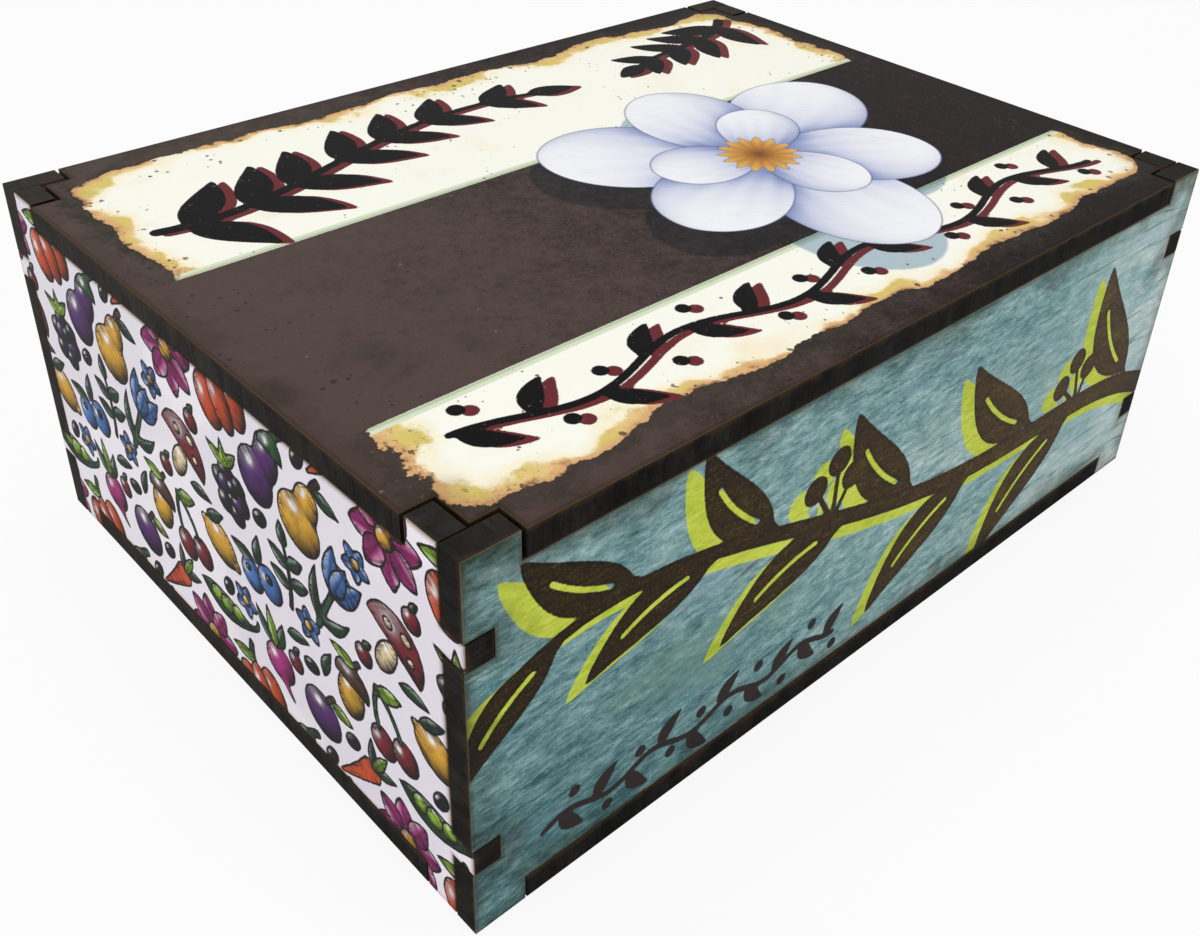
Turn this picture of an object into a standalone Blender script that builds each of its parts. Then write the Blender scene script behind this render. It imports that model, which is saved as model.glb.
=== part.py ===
"""A laser-cut wooden organizer box: four finger-jointed walls, a base, six compartments and a lift-off lid.

X runs along the long walls, Y from the front wall to the back wall, and Z up. The origin is the middle of
the underside. Every board is a flat outline cut from sheet and extruded by the thickness of that sheet.
"""

from math import pi, sin, cos

import bmesh
import bpy

# Outside of the box, in metres
box_length = 0.2330
box_width = 0.1728
box_height = 0.0913

# Sheet that the walls, base and lid are cut from
board_thickness = 0.0060

# Gap in every glued joint, and the play of the loose lid round the corner tabs
joint_gap = 0.0003
lid_play = 0.0010

# Corner tabs at the top and bottom of the walls, measured along each wall from the outside corner
long_wall_tab = 0.0120
end_wall_tab = 0.0150

# Tenons on the ends of the end walls, as far above the middle of the height as below it
tenon_height = 0.0060
tenon_offset = 0.0254

# Crossed dividers, of thinner sheet
divider_thickness = 0.0030
divider_height = 0.0600
column_count = 3

# Worked out from the sizes above
half_length = box_length / 2
half_width = box_width / 2
half_height = box_height / 2
wall_edge = half_height - board_thickness - joint_gap
inside_length = box_length - 2 * board_thickness
inside_width = box_width - 2 * board_thickness


def four_way(quarter):
    """Mirror the points of an outline's upper right quarter into the other three quarters."""
    right = quarter + [(u, -v) for u, v in reversed(quarter)]
    left = [(-u, v) for u, v in reversed(right)]
    return right + left


def long_wall_outline():
    """Full-length wall: tabs at its corners, and notches in its ends that the tenons pass through."""
    notch_half = tenon_height / 2 + joint_gap
    notch_floor = half_length - board_thickness - joint_gap
    return four_way([
        (half_length - long_wall_tab, wall_edge),
        (half_length - long_wall_tab, half_height),
        (half_length, half_height),
        (half_length, tenon_offset + notch_half),
        (notch_floor, tenon_offset + notch_half),
        (notch_floor, tenon_offset - notch_half),
        (half_length, tenon_offset - notch_half),
    ])


def end_wall_outline():
    """Wall that fits between the long ones, with two tenons on each end and tabs at its corners."""
    shoulder = half_width - board_thickness - joint_gap
    tenon_half = tenon_height / 2
    return four_way([
        (half_width - end_wall_tab, wall_edge),
        (half_width - end_wall_tab, half_height),
        (shoulder, half_height),
        (shoulder, tenon_offset + tenon_half),
        (half_width, tenon_offset + tenon_half),
        (half_width, tenon_offset - tenon_half),
        (shoulder, tenon_offset - tenon_half),
    ])


def plate_outline(clearance):
    """Base or lid: the box's rectangle, stepped twice at each corner to clear the two tabs there."""
    return four_way([
        (half_length - long_wall_tab - clearance, half_width),
        (half_length - long_wall_tab - clearance, half_width - board_thickness - clearance),
        (half_length - board_thickness - clearance, half_width - board_thickness - clearance),
        (half_length - board_thickness - clearance, half_width - end_wall_tab - clearance),
        (half_length, half_width - end_wall_tab - clearance),
    ])


def divider_outline(span, slot_places, slots_open_up):
    """Strip as long as the span less a gap at each end, half-lapped where other dividers cross it."""
    half_span = span / 2 - joint_gap
    slot_half = divider_thickness / 2 + joint_gap
    slot_floor = (divider_height - joint_gap) / 2
    slotted = [(-half_span, divider_height)]
    for place in slot_places:
        slotted += [
            (place - slot_half, divider_height),
            (place - slot_half, slot_floor),
            (place + slot_half, slot_floor),
            (place + slot_half, divider_height),
        ]
    slotted += [(half_span, divider_height), (half_span, 0), (-half_span, 0)]
    if slots_open_up:
        return slotted
    return [(u, divider_height - v) for u, v in slotted]


def sheet_material(name, colour, roughness):
    """Matt surface of one colour, for a printed face or for bare board."""
    material = bpy.data.materials.new(name)
    material.use_nodes = True
    shader = material.node_tree.nodes["Principled BSDF"]
    shader.inputs["Base Color"].default_value = (*colour, 1)
    shader.inputs["Roughness"].default_value = roughness
    shader.inputs["Metallic"].default_value = 0
    return material


def cut_board(name, outline, thickness, material):
    """Extrude an outline, drawn in X and Y, up by the thickness of its sheet."""
    shape = bmesh.new()
    face = shape.faces.new([shape.verts.new((u, v, 0)) for u, v in outline])
    extruded = bmesh.ops.extrude_face_region(shape, geom=[face])["geom"]
    raised = [item for item in extruded if isinstance(item, bmesh.types.BMVert)]
    bmesh.ops.translate(shape, verts=raised, vec=(0, 0, thickness))
    bmesh.ops.recalc_face_normals(shape, faces=shape.faces)
    mesh = bpy.data.meshes.new(name)
    shape.to_mesh(mesh)
    shape.free()
    mesh.materials.append(material)
    board = bpy.data.objects.new(name, mesh)
    bpy.context.collection.objects.link(board)
    return board


def stand_up(board, turn, distance, height):
    """Stand a board on edge, its upper face turned to the front and then round Z, as far out as the distance."""
    board.rotation_euler = (pi / 2, 0, turn)
    board.location = (distance * sin(turn), -distance * cos(turn), height)


def make_walls():
    """The two long walls and the two end walls between them, each facing outwards."""
    long_wall = long_wall_outline()
    end_wall = end_wall_outline()
    walls = [
        ("front_wall", long_wall, 0, half_width, (0.28, 0.42, 0.42)),
        ("back_wall", long_wall, pi, half_width, (0.28, 0.42, 0.42)),
        ("left_end_wall", end_wall, -pi / 2, half_length, (0.72, 0.68, 0.72)),
        ("right_end_wall", end_wall, pi / 2, half_length, (0.72, 0.68, 0.72)),
    ]
    for name, outline, turn, reach, colour in walls:
        wall = cut_board(name, outline, board_thickness, sheet_material(f"{name}_print", colour, 0.5))
        stand_up(wall, turn, reach - board_thickness, half_height)


def make_base():
    """Base plate, glued in flush with the bottom of the corner tabs."""
    bare_board = sheet_material("base_bare_board", (0.36, 0.22, 0.12), 0.8)
    cut_board("base_plate", plate_outline(joint_gap), board_thickness, bare_board)


def make_dividers():
    """One divider along the box and evenly spaced ones across it, half-lapped and standing on the base."""
    foot = board_thickness + joint_gap
    pitch = (inside_length + divider_thickness) / column_count
    places = [pitch * step - inside_length / 2 - divider_thickness / 2 for step in range(1, column_count)]
    bare_board = sheet_material("long_divider_bare_board", (0.48, 0.31, 0.17), 0.8)
    outline = divider_outline(inside_length, places, slots_open_up=True)
    along = cut_board("long_divider", outline, divider_thickness, bare_board)
    stand_up(along, 0, -divider_thickness / 2, foot)
    for number, place in enumerate(places, 1):
        name = f"cross_divider_{number}"
        bare_board = sheet_material(f"{name}_bare_board", (0.48, 0.31, 0.17), 0.8)
        outline = divider_outline(inside_width, [0], slots_open_up=False)
        across = cut_board(name, outline, divider_thickness, bare_board)
        stand_up(across, pi / 2, place - divider_thickness / 2, foot)


def make_lid():
    """Lid, lying on the walls' edges with its upper face flush with the tabs; it lifts straight off."""
    printed_board = sheet_material("lid_print", (0.085, 0.055, 0.052), 0.45)
    lid = cut_board("lid", plate_outline(lid_play), board_thickness, printed_board)
    lid.location.z = box_height - board_thickness


for leftover in list(bpy.data.objects):
    bpy.data.objects.remove(leftover)

make_walls()
make_base()
make_dividers()
make_lid()
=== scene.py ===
"""Looks of a printed, laser-cut organizer box with a lift-off lid.

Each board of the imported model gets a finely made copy: a printed or bare face, charred cut edges and a
bare back. The prints are drawn as signed distances to their painted shapes, worked out on the grid of the
board's face, and the finishes turn those distances into crisp, worn ink.
"""

from itertools import groupby
from math import cos, pi, radians, sin, tau

import bmesh
import bpy
import numpy as np
from mathutils import Matrix, Vector


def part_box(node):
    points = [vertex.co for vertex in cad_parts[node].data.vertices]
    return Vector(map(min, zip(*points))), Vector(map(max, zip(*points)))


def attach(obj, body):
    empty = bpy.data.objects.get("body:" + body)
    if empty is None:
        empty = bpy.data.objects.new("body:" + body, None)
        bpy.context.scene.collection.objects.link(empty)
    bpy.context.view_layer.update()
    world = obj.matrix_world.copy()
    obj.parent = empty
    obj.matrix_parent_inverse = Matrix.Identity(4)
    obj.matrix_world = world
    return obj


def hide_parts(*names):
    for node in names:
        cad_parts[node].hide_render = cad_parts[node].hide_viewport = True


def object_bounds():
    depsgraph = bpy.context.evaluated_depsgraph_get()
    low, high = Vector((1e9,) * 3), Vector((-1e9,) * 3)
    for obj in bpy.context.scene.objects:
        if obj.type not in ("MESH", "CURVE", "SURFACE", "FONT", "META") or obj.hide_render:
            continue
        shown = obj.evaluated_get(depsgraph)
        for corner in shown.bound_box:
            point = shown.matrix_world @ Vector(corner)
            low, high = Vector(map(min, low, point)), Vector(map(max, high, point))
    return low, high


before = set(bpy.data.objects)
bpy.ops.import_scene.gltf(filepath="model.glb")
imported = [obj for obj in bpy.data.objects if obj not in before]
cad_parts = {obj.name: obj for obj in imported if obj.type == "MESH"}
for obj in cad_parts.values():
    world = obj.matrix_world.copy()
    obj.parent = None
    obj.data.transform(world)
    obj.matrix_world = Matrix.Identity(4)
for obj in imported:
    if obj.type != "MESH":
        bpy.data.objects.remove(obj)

cad_lowest, cad_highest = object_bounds()


# Base plate
# Real piece: a plain rectangle of 6 mm fibreboard, stepped at its corners round the walls' tabs and glued in.
# It is bare on both faces, and the laser has charred its edges, which show below the walls.

millimetre = 0.001
edge_round = 0.22
rim_rings = (0, 0.07, edge_round, 0.6)
bare_step = 4.0
grid_digits = 4
weld_gap = 1e-6
flat_angle = 0.01
same_way = 0.99
nothing_near = 9.0
seed_step = 100.0


def flat_corners(node, outward):
    """Corners, in order, of a CAD board's face that looks outward: its triangles joined into one outline."""
    shape = bmesh.new()
    shape.from_mesh(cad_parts[node].data)
    bmesh.ops.remove_doubles(shape, verts=shape.verts, dist=weld_gap)
    bmesh.ops.dissolve_limit(shape, angle_limit=flat_angle, verts=shape.verts, edges=shape.edges)
    facing = [face for face in shape.faces if face.normal.dot(Vector(outward)) > same_way]
    outline = np.array([corner.co for corner in max(facing, key=lambda face: face.calc_area()).verts])
    shape.free()
    return outline


def grid_lines(marks, step):
    """Grid lines through every mark and at the rim rings on either side of it, and at most a step apart."""
    marks = np.unique(np.round(marks, grid_digits))
    rings = np.concatenate([marks + side * ring for ring in rim_rings for side in (-1, 1)])
    rings = np.unique(np.round(rings, grid_digits))
    rings = rings[(rings >= marks[0]) & (rings <= marks[-1])]
    counts = np.ceil(np.diff(rings) / step).astype(int)
    runs = zip(rings, rings[1:], counts)
    runs = [np.linspace(low, high, count, endpoint=False) for low, high, count in runs]
    return np.concatenate(runs + [rings[-1:]])


def run_distance(u, v, start, end):
    """Distance to a straight run from start to end, and how far along it its nearest place is, as a share."""
    run = end - start
    share = np.clip(((u - start[0]) * run[0] + (v - start[1]) * run[1]) / (run @ run), 0, 1)
    return np.hypot(u - start[0] - share * run[0], v - start[1] - share * run[1]), share


def add_object(name, data):
    """New object in the scene, made from its data."""
    made = bpy.data.objects.new(name, data)
    bpy.context.scene.collection.objects.link(made)
    return made


class Board:
    """One flat board, measured in millimetres on its own sheet.

    A place on it is the middle of its back + u * across + v * up + depth * outward. Its face, which may be
    printed, lies at depth = thickness and its back at depth 0.
    """

    def __init__(self, node, across, up, face_step):
        self.node = node
        self.axes = np.array([across, up, np.cross(across, up)], float)
        low, high = (np.array(corner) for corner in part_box(node))
        self.thickness = abs((high - low) @ self.axes[2]) / millimetre
        self.middle = (low + high) / 2 - self.axes[2] * self.thickness / 2 * millimetre
        corners = flat_corners(node, self.axes[2]) - self.middle
        self.outline = corners @ self.axes[:2].T / millimetre
        self.half_width, self.half_height = np.abs(self.outline).max(axis=0)
        self.face_lines = [grid_lines(marks, face_step) for marks in self.outline.T]
        self.u, self.v = np.meshgrid(*self.face_lines)
        self.layers = {}

    def inside(self, u, v):
        """Even-odd rule: a point is inside if an odd number of upright outline edges lies to its right."""
        start, end = self.outline, np.roll(self.outline, -1, axis=0)
        spans = (start[:, 1] > v[..., None]) != (end[:, 1] > v[..., None])
        return (spans & (start[:, 0] > u[..., None])).sum(axis=-1) % 2 == 1

    def rim_distance(self, u, v):
        """Distance to the nearest edge of the outline."""
        edges = zip(self.outline, np.roll(self.outline, -1, axis=0))
        return np.minimum.reduce([run_distance(u, v, start, end)[0] for start, end in edges])

    def skin(self, lines, facing):
        """One face, facing 1 for the print or -1 for the back: the grid's cells that lie inside the outline.

        Towards the edges it bows by a quarter circle: its drop is r - sqrt(r^2 - f^2), where r is the edge's
        radius and f is how much nearer than r the edge is.
        """
        u, v = np.meshgrid(*lines)
        rows, cols = u.shape
        between = [(line[1:] + line[:-1]) / 2 for line in lines]
        cell_rows, cell_cols = np.nonzero(self.inside(*np.meshgrid(*between)))
        first = cell_rows * cols + cell_cols
        cells = np.stack([first, first + 1, first + cols + 1, first + cols], axis=1)[:, ::facing]
        used = np.unique(cells)
        number = np.full(rows * cols, -1)
        number[used] = np.arange(len(used))

        rim = self.rim_distance(u, v)
        inset = edge_round - np.minimum(rim, edge_round)
        drop = edge_round - np.sqrt(edge_round**2 - inset**2)
        depth = self.thickness / 2 + facing * (self.thickness / 2 - drop)
        points = np.stack([u, v, depth, rim], axis=-1).reshape(-1, 4)[used]

        places = [np.abs(line[:, None] - marks).argmin(axis=0) for line, marks in zip(lines, self.outline.T)]
        chains = []
        for near, far in zip(zip(*places), zip(*np.roll(places, -1, axis=1))):
            steps = max(abs(far[0] - near[0]), abs(far[1] - near[1])) + 1
            run_cols, run_rows = np.linspace(near, far, steps).round().astype(int).T
            chains.append(number[run_rows * cols + run_cols])
        return points, number[cells], chains, used

    def window(self, centre, reach):
        """The part of the face's grid that lies within reach of a place."""
        return tuple(
            slice(*np.searchsorted(line, (place - reach, place + reach)))
            for line, place in zip(self.face_lines[::-1], centre[::-1])
        )

    def paint(self, layer, window, distance, shade):
        """Paint one shape on a layer: it gives the colour wherever it is nearer than the shapes before it."""
        if layer not in self.layers:
            self.layers[layer] = np.zeros((*self.u.shape, 4))
            self.layers[layer][..., 3] = nothing_near
        sheet = self.layers[layer][window]
        nearer = distance < sheet[..., 3]
        sheet[nearer] = np.dstack([shade, distance])[nearer]

    def make(self, face_finish, edge_finish, back_finish):
        """Closed mesh of the board: its face, its back, and a flat edge for each run of the outline."""
        face, face_cells, face_chains, used = self.skin(self.face_lines, 1)
        back_lines = [grid_lines(marks, bare_step) for marks in self.outline.T]
        back, back_cells, back_chains, _ = self.skin(back_lines, -1)
        back_cells = back_cells + len(face)
        edges = [
            [*(back_chain + len(face)), *face_chain[::-1]]
            for back_chain, face_chain in zip(back_chains, face_chains)
        ]
        points = np.concatenate([face, back])
        places = self.middle + points[:, :3] @ self.axes * millimetre
        mesh = bpy.data.meshes.new(f"{self.node}_board")
        mesh.from_pydata(places.tolist(), [], face_cells.tolist() + back_cells.tolist() + edges)
        slots = np.repeat([0, 2, 1], [len(face_cells), len(back_cells), len(edges)]).astype(np.int32)
        mesh.polygons.foreach_set("material_index", slots)
        for finish in (face_finish, edge_finish, back_finish):
            mesh.materials.append(finish)

        held = {"sheet": points[:, :3] - (0, 0, self.thickness), "rim": points[:, 3:]}
        for name, values in self.layers.items():
            values = values.reshape(self.u.size, -1)[used]
            held[name] = np.concatenate([values, np.zeros((len(back), values.shape[1]))])
        kinds = {1: ("FLOAT", "value"), 3: ("FLOAT_VECTOR", "vector"), 4: ("FLOAT_COLOR", "color")}
        for name, values in held.items():
            kind, field = kinds[values.shape[1]]
            attribute = mesh.attributes.new(name, kind, "POINT")
            attribute.data.foreach_set(field, values.astype(np.float32).ravel())
        mesh.validate()
        piece = add_object(f"{self.node}_board", mesh)
        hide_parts(self.node)
        return piece


def colour(red, green, blue):
    """Colour as a paint chart gives it, 0 to 255, turned into the linear values that light needs."""
    chart = np.array([red, green, blue]) / 255
    return np.where(chart <= 0.04045, chart / 12.92, ((chart + 0.055) / 1.055) ** 2.4)


class Signal:
    """A number, colour or vector on its way through a node tree; numbers add and multiply as Python's do."""

    def __init__(self, shading, socket):
        self.shading, self.socket = shading, socket

    def math(self, operation, first, second):
        return self.shading.node("ShaderNodeMath", {0: first, 1: second}, operation=operation)

    def __add__(self, other):
        return self.math("ADD", self, other)

    def __sub__(self, other):
        return self.math("SUBTRACT", self, other)

    def __rsub__(self, other):
        return self.math("SUBTRACT", other, self)

    def __mul__(self, other):
        return self.math("MULTIPLY", self, other)

    def __abs__(self):
        return self.math("ABSOLUTE", self, 0)

    __radd__, __rmul__ = __add__, __mul__

    def higher(self, other):
        """The larger of two numbers."""
        return self.math("MAXIMUM", self, other)

    def part(self, axis):
        """One of a vector's three numbers."""
        return self.shading.node("ShaderNodeSeparateXYZ", {0: self}, axis)

    def rise(self, low, high):
        """0 where this is below low, 1 above high, and a smooth step between."""
        sockets = {"Value": self, "From Min": low, "From Max": high}
        return self.shading.node("ShaderNodeMapRange", sockets, interpolation_type="SMOOTHSTEP")

    def fall(self, low, high):
        """1 where this is below low, 0 above high, and a smooth step between."""
        return 1 - self.rise(low, high)

    def between(self, under, over):
        """Colour that goes from under to over as this goes from 0 to 1."""
        return self.shading.mix("MIX", self, under, over)

    def blend(self, share, over):
        """This colour, going over to another as the share goes from 0 to 1."""
        return self.shading.mix("MIX", share, self, over)

    def tint(self, share, wash):
        """This colour multiplied by a wash, as thin paint or a shadow does it."""
        return self.shading.mix("MULTIPLY", share, self, wash)


class Shading:
    """A node tree that is written as expressions."""

    def __init__(self, tree):
        self.tree = tree

    def node(self, kind, sockets, output=0, stops=(), **settings):
        """One node: its settings and ramp stops first, then a value or a Signal for each of its sockets."""
        made = self.tree.nodes.new(kind)
        for name, value in settings.items():
            setattr(made, name, value)
        for number, (position, shade) in enumerate(stops):
            ramp = made.color_ramp.elements
            element = ramp[number] if number < len(ramp) else ramp.new(1)
            element.position, element.color = position, (*shade, 1)
        for key, value in sockets.items():
            socket = made.inputs[key]
            if isinstance(value, Signal):
                self.tree.links.new(value.socket, socket)
            elif socket.type == "RGBA":
                socket.default_value = (*value, 1)
            else:
                socket.default_value = value
        return Signal(self, made.outputs[output])

    def mix(self, kind, share, under, over):
        """Two colours put together by a share. One that isn't a Signal yet is a paint chart's numbers."""
        under, over = (shade if isinstance(shade, Signal) else colour(*shade) for shade in (under, over))
        sockets = {0: share, 6: under, 7: over}
        return self.node("ShaderNodeMix", sockets, 2, data_type="RGBA", blend_type=kind)


class Finish(Shading):
    """One procedural material round a Principled shader. Its lengths are millimetres on the board's sheet."""

    def __init__(self, name, roughness, gloss):
        self.material = bpy.data.materials.new(name)
        self.material.use_nodes = True
        super().__init__(self.material.node_tree)
        self.shader = self.tree.nodes["Principled BSDF"]
        self.shader.inputs["Roughness"].default_value = roughness
        self.shader.inputs["Specular IOR Level"].default_value = gloss

    def layer(self, name, output="Fac"):
        """What the mesh holds at its points under a name: a distance, a place or a paint's colour."""
        return self.node("ShaderNodeAttribute", {}, output, attribute_name=name)

    def place(self, stretch=(1, 1, 1), turn=0, seed=0):
        """Place on the sheet, turned in its plane, squeezed along its axes, and moved away by the seed."""
        sockets = {"Vector": self.layer("sheet", "Vector"), "Angle": turn}
        sheet = self.node("ShaderNodeVectorRotate", sockets, rotation_type="Z_AXIS")
        sockets = {0: sheet, 1: stretch, 2: (seed_step * seed,) * 3}
        return self.node("ShaderNodeVectorMath", sockets, operation="MULTIPLY_ADD")

    def noise(self, grain, detail=3, roughness=0.55, stretch=(1, 1, 1), turn=0, seed=0, warp=0):
        """Cloudy noise around 0, with features of about the grain's size, bent out of true by the warp."""
        sockets = {"Vector": self.place(stretch, turn, seed), "Scale": 1 / grain}
        sockets.update({"Detail": detail, "Roughness": roughness, "Distortion": warp})
        return self.node("ShaderNodeTexNoise", sockets) - 0.5

    def specks(self, spacing, seed=0):
        """Distance to the nearest of points strewn about the sheet, as a share of their spacing."""
        sockets = {"Vector": self.place(seed=seed), "Scale": 1 / spacing}
        return self.node("ShaderNodeTexVoronoi", sockets, "Distance", voronoi_dimensions="2D")

    def ramp(self, value, *stops):
        """Colour by value, through stops of a value and a paint chart's colour each."""
        stops = [(position, colour(*shade)) for position, shade in stops]
        return self.node("ShaderNodeValToRGB", {"Fac": value}, stops=stops)

    def surface(self, shade, roughness, height, bump):
        """Feeds the shader, with bump as the height in metres that 1 of the height stands for."""
        links = {
            "Base Color": shade,
            "Roughness": roughness,
            "Normal": self.node("ShaderNodeBump", {"Height": height, "Distance": bump}),
        }
        for name, signal in links.items():
            self.tree.links.new(signal.socket, self.shader.inputs[name])
        return self.material


def scorch(finish, shade, line):
    """The laser's mark on a face: brown smoke towards the edge, and a fine line in a given colour there."""
    rim = finish.layer("rim") + finish.noise(3.0) * 0.3
    shade = shade.tint(rim.fall(0.2, 1.3) * 0.5, (176, 152, 122))
    return shade.blend(rim.fall(0.06, 0.28) * 0.55, line)


def bare_board_finish():
    """Fibreboard as it comes: pressed tan fibres in fine flecks, with softer clouds and a scorched rim."""
    bare = Finish("bare_board", roughness=0.8, gloss=0.2)
    fibres = bare.noise(0.7, 4, 0.7, (1, 0.35, 1), 0.5)
    cross_fibres = bare.noise(0.9, 4, 0.7, (0.35, 1, 1), 0.3)
    fibre = fibres + cross_fibres + bare.noise(0.3, 2) * 0.6
    clouds = bare.noise(20, 3)
    shade = fibre.rise(-0.45, 0.5).between((138, 99, 66), (190, 152, 111))
    shade = shade.tint(clouds.rise(-0.25, 0.3) * 0.4, (200, 176, 150))
    smoke = (bare.layer("rim") + clouds * 6).fall(0, 5) * 0.35
    shade = shade.tint(smoke, (176, 132, 84))
    char = (bare.layer("rim") + clouds * 0.8).fall(0.3, 1.3) * 0.8
    shade = shade.blend(char, (52, 38, 28))
    shade = scorch(bare, shade, (24, 19, 16))
    return bare.surface(shade, 0.8 + fibre * 0.1, fibre, 0.00006)


def charred_edge_finish():
    """Laser-cut edge: black soot over brown, streaked by the beam, with painted light and sheen on what faces
    up or endways.
    """
    charred = Finish("charred_edge", roughness=0.85, gloss=0.06)
    streaks = charred.noise(0.6, 3, 0.6, (1, 1, 0.07))
    soot = charred.noise(5, 4, 0.6, (1, 1, 0.6))
    dust = charred.noise(0.5, 3, 0.7)
    burn = soot * 1.4 + streaks * 0.6 + dust * 0.5
    shade = burn.rise(-0.4, 0.5).between((3, 3, 3), (38, 36, 34))
    ash = (charred.noise(11, 3, 0.6, seed=5) + streaks * 0.4 + dust * 0.3).rise(0.02, 0.3)
    shade = shade.blend(ash * 0.45, (56, 53, 50))
    brown = (charred.noise(9, 3, 0.55, (1, 1, 2.0), seed=3) + dust * 0.2).rise(0.0, 0.24)
    shade = shade.blend(brown * 0.5, (36, 29, 18))
    # Painted light and sheen: edges that face up or endways are made lighter, more so towards the back, as
    # light and reflections would make them.
    normal = charred.node("ShaderNodeNewGeometry", {}, "Normal")
    endways, upright = normal.part("X"), normal.part("Z")
    backwards = charred.node("ShaderNodeTexCoord", {}, "Object").part("Y")
    painted_sheen = abs(endways).higher(upright) * (backwards + soot * 0.03).rise(-0.13, 0.06)
    shade = shade.blend(painted_sheen * (0.28 + streaks * 0.5 + soot * 0.5) + upright * 0.1, (78, 75, 70))
    halo = (charred.layer("sheet", "Vector").part("Z") + soot * 3.0).rise(-1.5, 0.1)
    shade = shade.blend(halo * 0.7, (62, 48, 28))
    return charred.surface(shade, 0.82 + burn * 0.2, streaks + dust * 0.5, 0.00012)


bare_board = bare_board_finish()
charred_edge = charred_edge_finish()
x_axis, y_axis, z_axis = np.eye(3)

base = Board("base_plate", x_axis, y_axis, bare_step).make(bare_board, charred_edge, bare_board)
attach(base, "case")


# Long walls
# Real pieces: two full-length boards of 6 mm fibreboard with tabs at the corners and notches for the end
# walls' tenons, glued. Their outer faces carry a satin print of weathered teal planks with a painted branch.

long_wall_step = 0.6
branch_shares = [(1.04, -0.46), (0.55, 0.22), (0.16, -0.90), (-0.30, 0.46), (-0.66, 0.62), (-0.93, 0.30)]
branch_widths = (7.0, 2.4)
branch_leaves = 10
first_leaf_share = 0.6
leaf_lengths = (50.0, 30.0)
leaf_angles = (0.8, 0.5)
leaf_width_share = 0.27
leaf_belly_share = 0.1
leaf_bend_share = 0.08
leaf_tip_radius = 1.2
petiole_share = 0.14
petiole_widths = (2.2, 2.6)
midrib_shares = (0.06, 0.24)
midrib_half = 0.6
berry_place_shares = (0.17, 0.585)
berry_turns_and_reaches = [(0.7, 13.0), (1.25, 15.5), (1.75, 11.0)]
stalk_widths = (1.6, 1.3)
berry_radius = 3.6
paint_shadow = (-4.6, -1.6)
never_zero = 1e-4
garland_place_shares = (-0.86, -0.66)
garland_sizes = {
    "reach": (0, 85.0),
    "points": 60,
    "swing": 1.6,
    "pitch": 3.6,
    "first_root": 4.322,
    "root_step": 8.6441,
    "stem_width": 1.7,
    "leaf_length": 8.5,
    "leaf_width": 3.4,
    "leaf_angle": 0.85,
    "leaf_bend": 0.7,
    "tip_radius": 0.3,
    "berry_step": (3.4, -4.2),
    "berry_radius": 1.5,
}


def bezier(corners, count=40):
    """Points along a Bezier curve: neighbouring corners are blended again and again until one is left."""
    share = np.linspace(0, 1, count)[:, None]
    level = [np.array(corner, float) for corner in corners]
    while len(level) > 1:
        level = [(1 - share) * near + share * far for near, far in zip(level, level[1:])]
    return level[0]


def melt(first, second, soften):
    """Union of two distances with the corner between them filled, and how much of the first it takes."""
    share = np.clip(0.5 + 0.5 * (second - first) / soften, 0, 1)
    return second + (first - second) * share - soften * share * (1 - share), share


def turned(x, y, turn):
    """Places as measured along axes that are turned by an angle."""
    return x * cos(turn) + y * sin(turn), y * cos(turn) - x * sin(turn)


def stride(length, angle):
    """Step of a length in the direction of an angle."""
    return length * np.array([cos(angle), sin(angle)])


def knot(stem, share):
    """Point of a stem at a share of its length, and the stem's heading from there."""
    number = int(share * (len(stem) - 2))
    run = stem[number + 1] - stem[number]
    return stem[number], np.arctan2(run[1], run[0])


def oval(u, v, centre, half, turn=0):
    """Distance to an ellipse: k * (k - 1) / g, with k the place's reach in half sizes and g its steepness."""
    x, y = turned(u - centre[0] + never_zero, v - centre[1], turn)
    reach = np.hypot(x / half[0], y / half[1])
    return reach * (reach - 1) / np.hypot(x / half[0] ** 2, y / half[1] ** 2)


def along_and_across(u, v, tail, tip, bend=0):
    """Places along a leaf, from its middle, and across it, from a midrib that bows aside by the bend."""
    length = np.hypot(tip[0] - tail[0], tip[1] - tail[1])
    run = ((tip[0] - tail[0]) / length, (tip[1] - tail[1]) / length)
    along = (u - tail[0]) * run[0] + (v - tail[1]) * run[1] - length / 2
    across = (v - tail[1]) * run[0] - (u - tail[0]) * run[1]
    return along, across - bend * (1 - (2 * along / length) ** 2), length


def leaf(u, v, tail, tip, width, bend=0):
    """Distance to a pointed leaf: what two equal circles share, its widest place drawn towards the tail."""
    along, across, length = along_and_across(u, v, tail, tip, bend)
    along = along + leaf_belly_share * length * (1 - np.clip(2 * along / length, -1, 1) ** 2)
    radius = (length**2 + width**2) / (4 * width)
    return np.hypot(along, np.abs(across) + radius - width / 2) - radius


def stroke(u, v, path, widths):
    """Distance to a brush stroke: to each straight piece of its path, less the half width there."""
    nearest = np.full(u.shape, np.inf)
    swell = np.linspace(*widths, len(path)) / 2
    for start, end, near_half, far_half in zip(path, path[1:], swell, swell[1:]):
        gap, share = run_distance(u, v, start, end)
        nearest = np.minimum(nearest, gap - near_half - share * (far_half - near_half))
    return nearest


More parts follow.
